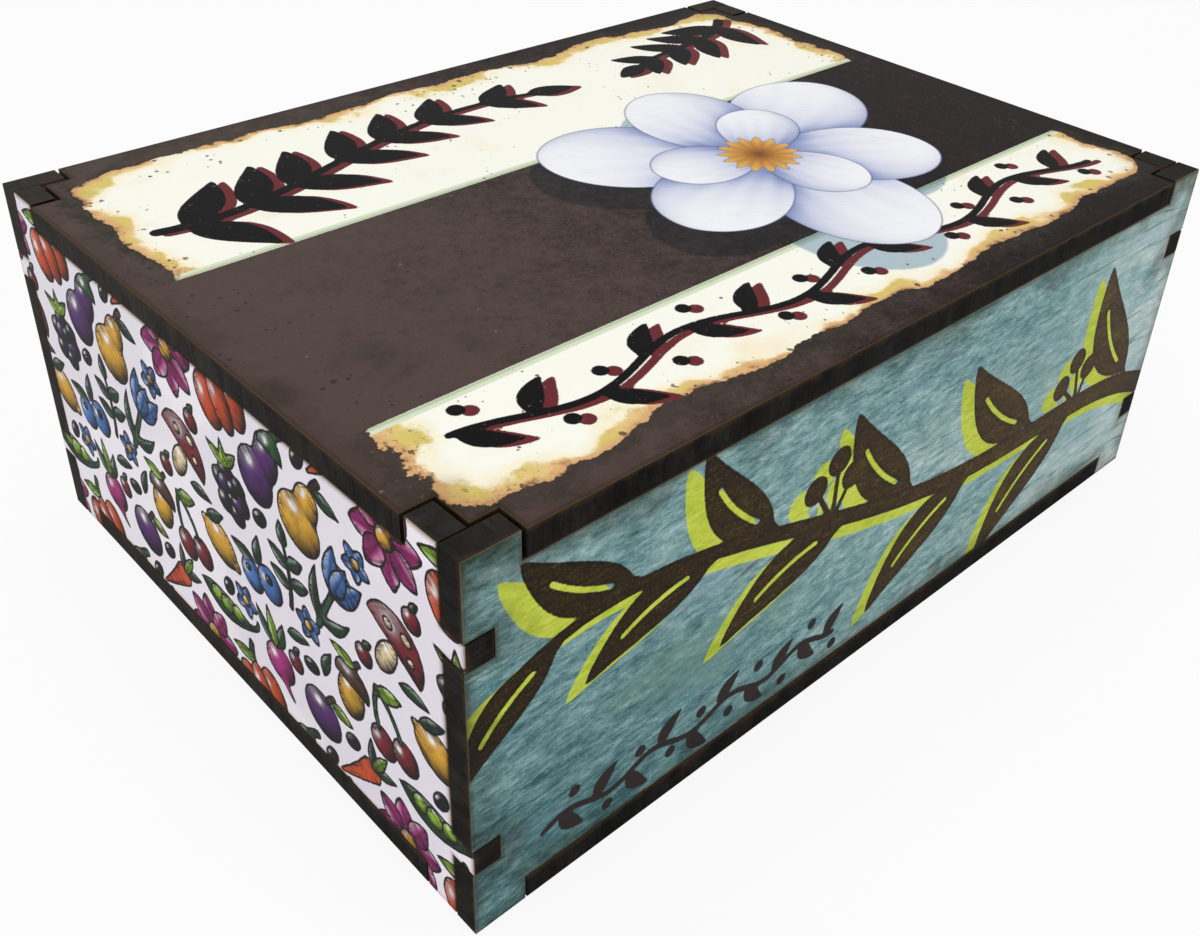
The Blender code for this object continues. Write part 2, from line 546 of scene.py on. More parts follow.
def painted_branch(u, v, half_width, half_height, rib_half=0):
    """Distance to the painted branch: its stem, leaves by turns on either side, left open at their midribs
    where a half width for those is given, and berries."""
    stem = bezier([(across * half_width, up * half_height) for across, up in branch_shares])
    shape = stroke(u, v, stem, branch_widths)
    for number in range(branch_leaves):
        share = (number + first_leaf_share) / branch_leaves
        tail, heading = knot(stem, share)
        side = 1 if number % 2 else -1
        length = np.interp(share, (0, 1), leaf_lengths)
        tip = tail + stride(length, heading + side * np.interp(share, (0, 1), leaf_angles))
        foot = tail + petiole_share * (tip - tail)
        bend = -side * length * leaf_bend_share
        outline = leaf(u, v, foot, tip, length * leaf_width_share, bend) - leaf_tip_radius
        petiole = stroke(u, v, np.array([tail, foot, 2 * foot - tail]), petiole_widths)
        outline = np.minimum(outline, petiole)
        if rib_half:
            along, across, _ = along_and_across(u, v, foot, tip, bend)
            shift, half = (length * part for part in midrib_shares)
            rib = np.hypot(np.maximum(np.abs(along + shift) - half, 0), across) - rib_half
            outline = np.maximum(outline, -rib)
        shape = np.minimum(shape, outline)
    for share in berry_place_shares:
        root, heading = knot(stem, share)
        for turn, reach in berry_turns_and_reaches:
            centre = root + stride(reach, heading - turn)
            stalk = stroke(u, v, np.array([root, centre]), stalk_widths)
            berry = oval(u, v, centre, (berry_radius, berry_radius))
            shape = np.minimum(shape, np.minimum(stalk, berry))
    return shape


def vine(
    u, v, start, reach, points, swing, pitch, first_root, root_step, stem_width,
    leaf_length, leaf_width, leaf_angle, leaf_bend, tip_radius, berry_step, berry_radius,
):
    """Distance to a vine: its stem is the wave swing * sin(place / pitch), and at each of its roots a leaf
    stands on one side and a berry on the other, by turns."""
    places = np.concatenate([np.linspace(*reach, points), np.arange(first_root, reach[1], root_step)])
    wave = start + np.stack([places, swing * np.sin(places / pitch)], axis=1)
    shape = stroke(u, v, wave[:points], (stem_width, stem_width))
    for number, root in enumerate(wave[points:]):
        side = 1 if number % 2 else -1
        tip = root + stride(leaf_length, leaf_angle * side)
        shape = np.minimum(shape, leaf(u, v, root, tip, leaf_width, leaf_bend * side) - tip_radius)
        berry = root + (berry_step[0], berry_step[1] * side)
        shape = np.minimum(shape, oval(u, v, berry, (berry_radius, berry_radius)))
    return shape


def plank_print_finish():
    """Print of old teal planks: paint worn into streaks along the wood, fine cracks, and two inks over it."""
    planks = Finish("long_wall_print", roughness=0.5, gloss=0.09)
    zones = planks.noise(46, 3, 0.5, (0.4, 1, 1), seed=1)
    streaks = planks.noise(3.2, 6, 0.72, (0.2, 1, 1), warp=0.4)
    mottle = planks.noise(6.0, 5, 0.68, (0.5, 1, 1), 0.06, seed=3)
    flecks = planks.noise(1.7, 5, 0.78, (0.36, 1, 1), -0.05, seed=21, warp=0.3)
    fine = planks.noise(0.8, 4, 0.75, (0.2, 1, 1), seed=2)
    weave = planks.noise(0.42, 2, 0.6, seed=5)
    place = planks.place()
    across, up = place.part("X"), place.part("Y")
    crisp = (flecks * 0.95 + fine * 0.7 + weave * 0.3) * (1.18 - across.rise(20, 110) * 0.6)
    tone = 0.53 + streaks * 0.5 + mottle * 0.5 + crisp + zones * 0.8
    shade = planks.ramp(
        tone + across * 0.0016,
        (0.08, (50, 86, 90)),
        (0.32, (96, 136, 139)),
        (0.50, (132, 166, 167)),
        (0.68, (166, 192, 192)),
        (0.92, (212, 222, 218)),
    )
    deep = planks.noise(15, 5, 0.62, (0.45, 1, 1), seed=22).rise(0.0, 0.2)
    shade = shade.blend(deep * tone.fall(0.42, 0.7) * 0.5, (70, 132, 144))
    green = planks.noise(20, 4, 0.6, (0.5, 1, 1), seed=7).rise(0.03, 0.2) * 0.42
    shade = shade.blend(green, (126, 156, 140))
    slate = planks.noise(20, 4, 0.6, (0.4, 1, 1), seed=8).rise(0.05, 0.22) * 0.42
    shade = shade.blend(slate * 0.8, (132, 160, 180))
    worn_zones = (planks.noise(24, 2, 0.5, (0.6, 1, 1), seed=10) - across * 0.0008).rise(-0.06, 0.1)
    dents = planks.noise(2.2, 4, 0.72, (0.26, 1, 1), 0.08, seed=9, warp=0.4).rise(0.12, 0.18)
    shade = shade.blend(dents * worn_zones * 0.7, (40, 70, 78))
    scuffs = planks.noise(1.7, 4, 0.72, (0.2, 1, 1), -0.06, seed=14).rise(0.13, 0.2)
    shade = shade.blend(scuffs * 0.45, (194, 214, 214))
    grain = abs(planks.noise(6, 3, 0.55, (0.035, 1, 1), seed=11)).fall(0.002, 0.012)
    grain_zones = (planks.noise(22, 2, 0.5, (0.4, 1, 1), seed=13) + across * 0.002).rise(0.02, 0.14)
    shade = shade.blend(grain * grain_zones * 0.6, (66, 82, 84))
    cracks = abs(planks.noise(13, 2, 0.5, (0.06, 1, 1), 0.03, seed=24)).fall(0.0, 0.006)
    shade = shade.blend(cracks * zones.rise(0.0, 0.05) * 0.7, (72, 66, 56))

    ragged = fine * 0.35 + weave * 0.3
    thin = (streaks + fine * 0.8 + weave * 0.4).rise(0.1, 0.42)
    lime = tone.rise(0.2, 0.75).between((166, 182, 44), (206, 218, 80))
    lime_cover = (planks.layer("branch_shadow") + ragged).fall(-0.16, 0.16)
    shade = shade.blend(lime_cover * (1 - thin * 0.3), lime)
    olive = planks.noise(13, 5, 0.62, (0.6, 1, 1), seed=17).rise(0.0, 0.26)
    brown = (olive * 0.85).between((86, 62, 25), (120, 101, 40))
    brown = brown.blend((flecks + weave).rise(0.1, 0.26) * 0.5, (138, 112, 60))
    brown = brown.tint((fine + weave * 0.8).fall(-0.15, 0.25), (134, 126, 112))
    brown = brown.tint(across.fall(-110, 80), (176, 174, 132))
    rim_of_ink = planks.layer("branch").rise(-1.6, -0.1) * 0.45
    brown = brown.tint(rim_of_ink, (150, 136, 120))
    brown_cover = (planks.layer("branch") + ragged).fall(-0.16, 0.16)
    shade = shade.blend(brown_cover * (1 - thin * 0.12), brown)
    small_cover = (planks.layer("garland") + ragged).fall(-0.16, 0.16)
    shade = shade.blend(small_cover * (1 - thin * 0.3), (42, 32, 30))
    smoke = (planks.layer("rim") + planks.noise(15, 4, 0.6, seed=23) * 26).fall(0, 8)
    tabs = abs(across).rise(100, 108) * up.rise(37, 42)
    shade = shade.tint(smoke * 0.6 + tabs * 0.4, (138, 134, 120))
    shade = scorch(planks, shade, (96, 84, 66))
    height = weave + streaks * 0.6 + fine * 0.5
    return planks.surface(shade, 0.5 + fine * 0.25, height, 0.00005)


plank_print = plank_print_finish()

for node, across in (("front_wall", x_axis), ("back_wall", -x_axis)):
    wall = Board(node, across, z_axis, long_wall_step)
    sides = (wall.half_width, wall.half_height)
    aside, below = paint_shadow
    wall.layers["branch"] = painted_branch(wall.u, wall.v, *sides, midrib_half)
    start = np.array(sides) * garland_place_shares
    wall.layers["garland"] = vine(wall.u, wall.v, start, **garland_sizes)
    wall.layers["branch_shadow"] = painted_branch(wall.u - aside, wall.v - below, *sides)
    piece = wall.make(plank_print, charred_edge, bare_board)
    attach(piece, "case")


# End walls
# Real pieces: two boards of the same fibreboard between the long walls, with two tenons on each end, glued.
# Their outer faces carry a satin print of small hand-drawn fruits and flowers, inked and washed with colour.

end_wall_step = 0.45
pen_width = 0.5
melt_share = 0.05
shine_place_shares = (-0.36, 0.38)
shine_spread_share = 0.035
midrib_width_share = 0.1
stalk_light = 0.1
stalk_points = 8
darkest_share = 0.92
lightest_share = 0.9
shine_grey = 0.95
motif_reach_share = 0.6
window_reach_share = 0.75
pattern_repeat = 76.0
pattern_gap = 1.5
pattern_turn = 0.65
pattern_tries = 500
pattern_seed = 11

inks = {
    "maroon": (122, 30, 40),
    "magenta": (176, 46, 128),
    "purple": (82, 38, 102),
    "blue": (70, 116, 184),
    "orange": (198, 76, 32),
    "yellow": (218, 166, 50),
    "lime": (146, 188, 44),
    "green": (38, 80, 44),
    "night": (26, 27, 33),
    "bark": (78, 48, 34),
    "cream": (238, 216, 172),
}


def glaze(shade, paint, share):
    """A colour with a paint laid over it, by a share that differs from place to place."""
    return shade + (paint - shade) * np.clip(share, 0, 1)[..., None]


def ball(x, y, centre, half, turn=0):
    """Rounded shape: light falls off from the upper left, where a shine lies as exp(-distance^2 / spread)."""
    across, up = (x - centre[0]) / half[0], (y - centre[1]) / half[1]
    light = 0.62 * (up - across) - 0.4 * (across**2 + up**2)
    off_shine = (across - shine_place_shares[0]) ** 2 + (up - shine_place_shares[1]) ** 2
    return oval(x, y, centre, half, turn), light + 0.9 * np.exp(-off_shine / shine_spread_share)


def blade(x, y, tail, tip, width, bend=0):
    """Leaf or petal whose two halves catch the light unlike, with a dark midrib between them."""
    along, across, length = along_and_across(x, y, tail, tip, bend)
    midrib = np.exp(-((across / (midrib_width_share * width)) ** 2))
    light = 0.55 * np.tanh(5 * across / width) - 0.7 * midrib + 0.4 * along / length
    return leaf(x, y, tail, tip, width, bend), light


def line(x, y, corners, start_width, end_width):
    """Stalk or root: a stroke along a curve."""
    path = bezier(corners, stalk_points)
    return stroke(x, y, path, (start_width, end_width)), np.full(x.shape, stalk_light)


def cap(x, y, centre, half, floor):
    """Upper part of a rounded shape, cut level at the floor."""
    distance, light = ball(x, y, centre, half)
    return np.maximum(distance, floor - y), light


def ring(layer, ink, first, count, inner, outer, width):
    """Petals round the middle, each a blade from the inner to the outer circle."""
    turns = [first + tau * number / count for number in range(count)]
    return [(layer, ink, blade, stride(inner, turn), stride(outer, turn), width) for turn in turns]


# Each motif: its height in millimetres, and its parts. A part has a layer, an ink and a shape, and then the
# shape's places and sizes as shares of that height.
motif_shares = {
    "pumpkin": (21, [
        ("under", "orange", ball, (-0.26, -0.1), (0.22, 0.3)),
        ("under", "orange", ball, (0.26, -0.1), (0.22, 0.3)),
        ("under", "green", line, [(0, 0.2), (0.02, 0.34), (0.12, 0.46)], 0.12, 0.09),
        ("over", "orange", ball, (0, -0.11), (0.18, 0.33)),
        ("top", "lime", blade, (0.04, 0.24), (-0.38, 0.4), 0.17),
    ]),
    "cosmos": (22, [
        *ring("under", "magenta", 0.2, 4, 0.1, 0.49, 0.28),
        *ring("over", "magenta", 0.2 + tau / 8, 4, 0.1, 0.49, 0.28),
        ("top", "yellow", ball, (0, 0), (0.12, 0.12)),
    ]),
    "aubergine": (25, [
        ("under", "purple", ball, (-0.08, -0.22), (0.25, 0.27)),
        ("under", "purple", ball, (0.06, 0.1), (0.17, 0.25)),
        ("over", "green", cap, (0.11, 0.22), (0.17, 0.17), 0.2),
        ("over", "green", line, [(0.12, 0.34), (0.14, 0.42), (0.24, 0.5)], 0.09, 0.08),
    ]),
    "pear": (23, [
        ("under", "yellow", ball, (0, -0.19), (0.31, 0.29)),
        ("under", "yellow", ball, (0.03, 0.13), (0.17, 0.22)),
        ("under", "bark", line, [(0.03, 0.32), (0.04, 0.42), (0.1, 0.52)], 0.06, 0.08),
        ("over", "green", blade, (0.06, 0.38), (0.42, 0.44), 0.15),
    ]),
    "tulip": (25, [
        ("under", "green", line, [(0.02, -0.5), (0, -0.2), (0, 0.08)], 0.07, 0.06),
        ("under", "green", blade, (0.02, -0.46), (-0.26, 0.04), 0.13, 0.05),
        ("under", "green", blade, (0.02, -0.42), (0.27, -0.04), 0.13, -0.05),
        ("under", "blue", ball, (0, 0.22), (0.19, 0.2)),
        ("over", "blue", blade, (-0.06, 0.04), (-0.2, 0.5), 0.2),
        ("over", "blue", blade, (0.06, 0.04), (0.2, 0.5), 0.2),
        ("top", "blue", blade, (0, 0.03), (0, 0.46), 0.2),
    ]),
    "blackberry": (21, [
        *[("under", "night", ball, (0.2 * cos(turn), 0.24 * sin(turn) - 0.1), (0.14, 0.13))
          for turn in (0.5, 1.6, 2.7, 3.8, 4.9, 6)],
        ("over", "purple", ball, (-0.1, -0.02), (0.12, 0.11)),
        ("over", "purple", ball, (0.1, -0.2), (0.12, 0.11)),
        ("top", "night", ball, (0.05, -0.04), (0.1, 0.1)),
        ("top", "lime", blade, (0, 0.2), (-0.28, 0.4), 0.13),
        ("top", "lime", blade, (0, 0.2), (0.28, 0.4), 0.13),
        ("top", "lime", blade, (0, 0.18), (0.02, 0.5), 0.12),
    ]),
    "mushroom": (20, [
        ("under", "cream", ball, (0, -0.26), (0.14, 0.26)),
        ("over", "maroon", cap, (0, 0.02), (0.45, 0.4), -0.02),
        ("top", "cream", ball, (-0.18, 0.16), (0.07, 0.06)),
        ("top", "cream", ball, (0.06, 0.28), (0.08, 0.06)),
        ("top", "cream", ball, (0.22, 0.12), (0.06, 0.05)),
    ]),
    "pea_pod": (23, [
        ("under", "green", blade, (-0.46, -0.22), (0.46, 0.2), 0.32, -0.06),
        ("over", "lime", ball, (-0.19, -0.12), (0.1, 0.1)),
        ("over", "lime", ball, (0.17, 0.05), (0.1, 0.1)),
        ("top", "lime", ball, (-0.01, -0.05), (0.11, 0.11)),
        ("top", "green", line, [(0.4, 0.18), (0.5, 0.26), (0.46, 0.36)], 0.06, 0.04),
    ]),
    "radish": (23, [
        ("under", "magenta", ball, (0, -0.12), (0.24, 0.22)),
        ("under", "magenta", line, [(0, -0.28), (0.03, -0.4), (0.1, -0.5)], 0.12, 0.03),
        ("over", "green", blade, (0, 0.06), (-0.22, 0.44), 0.15, 0.03),
        ("over", "green", blade, (0, 0.06), (0.24, 0.4), 0.15, -0.03),
        ("top", "lime", blade, (0, 0.05), (0.01, 0.52), 0.15),
    ]),
    "cherries": (19.5, [
        ("under", "maroon", ball, (-0.21, -0.22), (0.21, 0.21)),
        ("over", "maroon", ball, (0.17, -0.29), (0.21, 0.21)),
        ("top", "green", line, [(-0.2, -0.05), (-0.16, 0.25), (0.04, 0.44)], 0.06, 0.07),
        ("top", "green", line, [(0.18, -0.12), (0.2, 0.2), (0.04, 0.44)], 0.06, 0.07),
        ("top", "lime", blade, (0.04, 0.42), (0.46, 0.36), 0.2),
    ]),
    "carrot": (24, [
        ("under", "orange", line, [(0.05, 0.1), (-0.02, -0.2), (-0.14, -0.5)], 0.26, 0.03),
        ("over", "green", blade, (0.05, 0.16), (-0.14, 0.46), 0.12),
        ("over", "green", blade, (0.05, 0.16), (0.28, 0.42), 0.12),
        ("top", "lime", blade, (0.05, 0.15), (0.08, 0.52), 0.12),
    ]),
    "blueberries": (17.5, [
        ("under", "green", blade, (-0.02, 0.1), (-0.44, 0.42), 0.2),
        ("under", "green", blade, (0.04, 0.1), (0.36, 0.46), 0.2),
        ("under", "blue", ball, (-0.22, -0.06), (0.24, 0.24)),
        ("over", "blue", ball, (0.2, -0.16), (0.26, 0.26)),
        ("top", "night", ball, (0.22, -0.1), (0.08, 0.07)),
        ("top", "night", ball, (-0.26, 0.04), (0.06, 0.05)),
    ]),
    "acorn": (18.5, [
        ("under", "yellow", ball, (0, -0.14), (0.24, 0.34)),
        ("over", "bark", cap, (0, 0.1), (0.31, 0.24), 0.02),
        ("over", "bark", line, [(0, 0.32), (0.02, 0.4), (0.08, 0.48)], 0.08, 0.07),
        ("top", "lime", blade, (0.04, 0.36), (-0.42, 0.34), 0.18),
    ]),
    "lemon": (18, [
        ("under", "yellow", ball, (0, -0.04), (0.37, 0.29)),
        ("under", "yellow", ball, (0.38, -0.04), (0.08, 0.08)),
        ("under", "yellow", ball, (-0.38, -0.04), (0.06, 0.06)),
        ("over", "green", blade, (-0.34, 0.06), (-0.06, 0.46), 0.18),
    ]),
    "plum": (17, [
        ("under", "purple", ball, (-0.03, -0.08), (0.39, 0.36)),
        ("over", "bark", line, [(-0.02, 0.24), (0, 0.36), (0.06, 0.46)], 0.08, 0.09),
        ("top", "lime", blade, (0.04, 0.34), (0.48, 0.46), 0.2),
    ]),
    "sprig": (21, [
        ("under", "night", line, [(-0.1, -0.5), (0.06, -0.1), (0.02, 0.3)], 0.06, 0.04),
        ("over", "green", blade, (-0.02, -0.26), (-0.34, -0.1), 0.17),
        ("over", "green", blade, (0, -0.2), (0.34, -0.12), 0.17),
        ("over", "green", blade, (0.02, -0.02), (-0.28, 0.18), 0.17),
        ("over", "green", blade, (0.02, 0.02), (0.32, 0.14), 0.17),
        ("over", "green", blade, (0.02, 0.22), (0.06, 0.52), 0.17),
    ]),
    "floret": (9.5, [
        *ring("under", "blue", 0.3, 5, 0.08, 0.48, 0.32),
        ("over", "yellow", ball, (0, 0), (0.15, 0.15)),
    ]),
    "berry": (8, [
        ("under", "maroon", ball, (0, -0.12), (0.34, 0.34)),
        ("over", "green", blade, (0, 0.16), (0.36, 0.42), 0.24),
    ]),
    "leaflet": (9, [
        ("under", "green", blade, (-0.42, -0.24), (0.44, 0.26), 0.34, 0.05),
    ]),
    "bean": (7, [
        ("under", "night", ball, (0, 0), (0.42, 0.27), 0.5),
        ("over", "cream", line, [(-0.2, -0.1), (0, 0.05), (0.2, 0.1)], 0.08, 0.05),
    ]),
}


def motif_distance(name, x, y):
    """Distance to a whole motif: the nearest of its parts."""
    _, parts = motif_shares[name]
    return np.minimum.reduce([shape(x, y, *sizes)[0] for _, _, shape, *sizes in parts])


def tossed_motifs(names):
    """Names, places and turns of the motifs in one repeat of the pattern, which joins up with itself.

    Each in turn tries many random places and turns. Of those that leave it its gap on every side it takes
    the one where it lies closest to the motifs before it, and without any it is left out.
    """
    chance = np.random.default_rng(pattern_seed)
    sheet = np.arange(int(pattern_repeat))
    across, up = np.meshgrid(sheet, sheet)
    free = np.full(across.shape, 2 * nothing_near)
    tossed = []
    for name in names:
        height, _ = motif_shares[name]
        marks = np.linspace(-motif_reach_share, motif_reach_share, int(2 * motif_reach_share * height))
        x, y = np.meshgrid(marks, marks)
        own = np.stack([x, y])[:, motif_distance(name, x, y) < 0] * height
        centres = chance.uniform(0, pattern_repeat, (pattern_tries, 2, 1))
        turns = chance.uniform(-pattern_turn, pattern_turn, (pattern_tries, 1))
        cosines, sines = np.cos(turns), np.sin(turns)
        lies_u = centres[:, 0] + own[0] * cosines - own[1] * sines
        lies_v = centres[:, 1] + own[0] * sines + own[1] * cosines
        gaps = free[np.rint(lies_v).astype(int) % len(sheet), np.rint(lies_u).astype(int) % len(sheet)]
        fits = gaps.min(axis=1) > pattern_gap
        if fits.any():
            best = np.where(fits, gaps.mean(axis=1), np.inf).argmin()
            centre, turn = centres[best, :, 0], turns[best, 0]
            tossed.append((name, centre, turn))
            half = pattern_repeat / 2
            past = (place - middle for place, middle in zip((across, up), centre))
            x, y = ((distance + half) % pattern_repeat - half for distance in past)
            x, y = turned(x, y, turn)
            free = np.minimum(free, motif_distance(name, x / height, y / height) * height)
    return tossed


def draw_motif(board, name, centre, turn):
    """Paint one motif's parts; parts of one ink and layer that follow each other melt into one body."""
    height, parts = motif_shares[name]
    window = board.window(centre, window_reach_share * height)
    x, y = (board.u[window] - centre[0]) / height, (board.v[window] - centre[1]) / height
    if not x.size:
        return
    x, y = turned(x, y, turn)
    for (layer, ink), group in groupby(parts, key=lambda part: part[:2]):
        distance, light = nothing_near, 0
        for _, _, shape, *sizes in group:
            part_distance, part_light = shape(x, y, *sizes)
            distance, share = melt(distance, part_distance, melt_share)
            light = part_light + (light - part_light) * share
        shade = glaze(colour(*inks[ink]), 0, darkest_share * np.clip(-light, 0, 1))
        shade = glaze(shade, shine_grey, np.minimum(1.1 * np.clip(light, 0, 1) ** 2, lightest_share))
        board.paint(layer, window, distance * height, shade)


def orchard_print_finish():
    """Print of small drawings on off-white: each layer's wash, hatched near its rim, inside a line of ink."""
    orchard = Finish("end_wall_print", roughness=0.55, gloss=0.08)
    zones = orchard.noise(60, 1, 0.5, (1, 0.5, 1), 0.9)
    grit = orchard.noise(0.45, 3, 0.65)
    shade = zones.rise(-0.02, 0.02).between((236, 230, 239), (247, 242, 248))
    shade = shade.tint(grit.rise(-0.1, 0.4) * 0.12, (190, 180, 196))
    wobble = orchard.noise(2.2, 2, 0.6, seed=3) * 0.5 + grit * 0.25
    hatching = orchard.noise(0.9, 2, 0.5, (0.12, 1, 1), 0.7, seed=5).rise(0.02, 0.1)
    cross_hatching = orchard.noise(0.9, 2, 0.5, (0.15, 1, 1), -0.5, seed=6).rise(0.04, 0.12)
    bloom = orchard.noise(3.5, 3, 0.6, seed=8)
    for name in ("under", "over", "top"):
        edge = orchard.layer(name, "Alpha") + wobble
        wash = orchard.layer(name, "Color")
        wash = wash.tint(bloom.rise(-0.1, 0.3) * 0.6, (140, 132, 150))
        wash = wash.tint(hatching * edge.rise(-4.2, -0.2) * 0.8, (62, 56, 70))
        wash = wash.tint(cross_hatching * edge.rise(-2.0, -0.2) * 0.8, (52, 46, 58))
        shade = shade.blend(edge.fall(-0.1, 0.1), wash)
        pen = abs(edge).fall(pen_width / 2 - 0.1, pen_width / 2 + 0.14)
        shade = shade.blend(pen, (13, 11, 15))
    shade = scorch(orchard, shade, (86, 68, 50))
    return orchard.surface(shade, 0.5 + grit * 0.2, grit, 0.00005)


orchard_print = orchard_print_finish()
small_motifs = ["floret", "berry", "leaflet", "bean"]
large_motifs = [name for name in motif_shares if name not in small_motifs]
tossed = tossed_motifs(large_motifs + 8 * small_motifs)

for node, across in (("left_end_wall", -y_axis), ("right_end_wall", y_axis)):
    wall = Board(node, across, z_axis, end_wall_step)
    for column in range(-2, 2):
        for row in range(-2, 2):
            corner = pattern_repeat * np.array([column, row])
            for name, centre, turn in tossed:
                draw_motif(wall, name, corner + centre, turn)
    piece = wall.make(orchard_print, charred_edge, bare_board)
    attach(piece, "case")


# Dividers
# Real pieces: thin fibreboard strips, one along the box and two across it, slotted half and half into each
# other and standing on the base plate. They are bare, with charred edges.

for node, across in (("long_divider", x_axis), ("cross_divider_1", y_axis), ("cross_divider_2", y_axis)):
    piece = Board(node, across, z_axis, bare_step).make(bare_board, charred_edge, bare_board)
    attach(piece, "case")


# Lid
# Real piece: a loose plate of the same fibreboard, lying on the walls and held in place by their tabs.
# Its upper face carries a satin print like an old enamel sign: burnt cream bands on brown, and a big blossom.

lid_step = 0.85
sign_margin = 8.8
sign_corner = 7.0
brown_band_middle = -14.0
brown_band_half = 34.0
blossom_place = (34.0, -10.0)
blossom_turn = 0.42
blossom_shadow = (-9.0, -8.0)
# Each ring of tepals: its layer, the turn of its first tepal, and the length and width of each
tepal_rings = [
    ("outer_tepals", 0.0, 56.0, 37.0),
    ("middle_tepals", pi / 3, 47.0, 33.0),
    ("inner_tepals", 0.35, 30.0, 22.0),
]
tepal_swell_shares = (0.75, 0.54)
tepal_outline_points = 36
tepal_hem = 1.6
tepal_veins = 16
root_reach_share = 0.42
cast_softness = 3.5
heart_radius = 9.5
fringe_share = 0.16
fringe_points = 15
black_shadow = (1.9, -1.7)
leaf_edge_radius = 0.5
spray_stem_widths = (3.4, 1.8)
spray_length_shares = (1.0, 0.6)
spray_width_shares = (1.0, 0.65)
spray_angles = (0.92, 0.62)
spray_heel_share = 0.08
spray_bend_share = 0.07
spray_tip_shares = (0.6, 0.7)
# Each spray: the corners of its stem's curve, its pairs of leaves, and the length and width of the first
sprays = [
    ([(-101, 42), (-66, 34), (-36, 68), (14, 57)], 7, 22.0, 8.5),
    ([(102, 70), (88, 56), (72, 62), (54, 55)], 4, 19.0, 7.5),
]
vine_start = (0, -62.0)
vine_sizes = {
    "reach": (-98.0, 98.0),
    "points": 90,
    "swing": 3.4,
    "pitch": 9.0,
    "first_root": -97.05,
    "root_step": 4.5 * pi,
    "stem_width": 1.9,
    "leaf_length": 12.0,
    "leaf_width": 4.32,
    "leaf_angle": 0.8,
    "leaf_bend": 0.9,
    "tip_radius": 0.4,
    "berry_step": (4.5, -5.6),
    "berry_radius": 1.8,
}


def tepal(u, v, turn, length, width):
    """One tepal. Gives its distance, and places along and across it as shares.

    Its half width at a share s of its length follows s^a * (1 - s)^b, which peaks where s = a / (a + b). The
    distance is that to the outline so drawn, taken as short straight pieces, and is below zero inside it.
    """
    x, y = turned(u - blossom_place[0], v - blossom_place[1], turn)
    root_power, tip_power = tepal_swell_shares
    peak = root_power / (root_power + tip_power)
    shares = [(1 - np.cos(np.linspace(0, pi, tepal_outline_points))) / 2, np.clip(x / length, 0, 1)]
    outline, there = (
        width / 2 * (share / peak) ** root_power * ((1 - share) / (1 - peak)) ** tip_power
        for share in shares
    )
    reach = stroke(x, np.abs(y), np.stack([shares[0] * length, outline], axis=1), (0, 0))
    return np.where(np.abs(y) < there, -reach, reach), x / length, 2 * y / width


def ring_of_tepals(u, v, first, length, width):
    """The three tepals of one ring."""
    turns = [blossom_turn + first + tau * number / 3 for number in range(3)]
    return [tepal(u, v, turn, length, width) for turn in turns]


def paint_blossom(board):
    """Three rings of three tepals round an amber heart, painted from the inside out. A tepal is white, and
    deepens to lavender and blue at its root, along one side, in faint veins, and where the ring before it
    casts its shade."""
    white, lavender, blue = colour(250, 250, 253), colour(160, 172, 214), colour(92, 112, 168)
    everywhere = (slice(None), slice(None))
    cast = 0
    for layer, *sizes in reversed(tepal_rings):
        tepals = ring_of_tepals(board.u, board.v, *sizes)
        for distance, along, across in tepals:
            root = np.exp(-((along / root_reach_share) ** 2))
            side = np.clip(-across, 0, 1) ** 1.5 * (1 - 0.5 * along)
            curl = np.exp(-np.abs(distance) / tepal_hem)
            veins = 0.5 + 0.5 * np.cos(tepal_veins * across / (0.45 + np.clip(along, 0, 1)))
            deep = np.clip(0.7 * root + 0.55 * side + 0.3 * cast + 0.14 * veins * (1 - along), 0, 1)
            shade = glaze(white, lavender, deep * 1.25)
            shade = glaze(shade, blue, deep - 0.45)
            shade = glaze(shade, blue, 0.35 * curl * np.clip(0.4 - across, 0, 1))
            board.paint(layer, everywhere, distance, shade)
        nearest = np.minimum.reduce([distance for distance, _, _ in tepals])
        cast = np.exp(-np.clip(nearest, 0, None) / cast_softness)
    x, y = board.u - blossom_place[0], board.v - blossom_place[1]
    reach, around = np.hypot(x, y), np.arctan2(y, x)
    frill = np.cos(fringe_points * around)
    gold, amber, brown = colour(226, 178, 96), colour(190, 128, 62), colour(110, 66, 38)
    glow = np.clip(reach / heart_radius, 0, 1)
    shade = glaze(glaze(brown, amber, 2 * glow), gold, glow * 1.6 - 0.75 + 0.25 * frill)
    board.paint("heart", everywhere, reach - heart_radius * (1 + fringe_share * frill), shade)


def blossom_distance(u, v):
    """Distance to the blossom as a whole."""
    rings = [ring_of_tepals(u, v, *sizes) for _, *sizes in tepal_rings]
    return np.minimum.reduce([distance for tepals in rings for distance, _, _ in tepals])


def spray(u, v, corners, leaves, length, width):
    """Distance to a black spray: a tapering stem with pairs of ever smaller leaves, and one at its tip."""
    stem = bezier(corners)
    shape = stroke(u, v, stem, spray_stem_widths)
    for number in range(leaves):
        share = (number + 0.5) / leaves
        root, heading = knot(stem, share)
        reach = length * np.interp(share, (0, 1), spray_length_shares)
        blade_width = width * np.interp(share, (0, 1), spray_width_shares)
        for side in (-1, 1):
            angle = heading + side * np.interp(share, (0, 1), spray_angles)
            heel = root + stride(spray_heel_share * reach, angle)
            bend = -side * spray_bend_share * reach
            pointed = leaf(u, v, heel, heel + stride(reach, angle), blade_width, bend)
            shape = np.minimum(shape, pointed - leaf_edge_radius)
    tip_length, tip_width = length * spray_tip_shares[0], width * spray_tip_shares[1]
    tip = stem[-1] + stride(tip_length, knot(stem, 1)[1])
    return np.minimum(shape, leaf(u, v, stem[-1], tip, tip_width) - leaf_edge_radius)


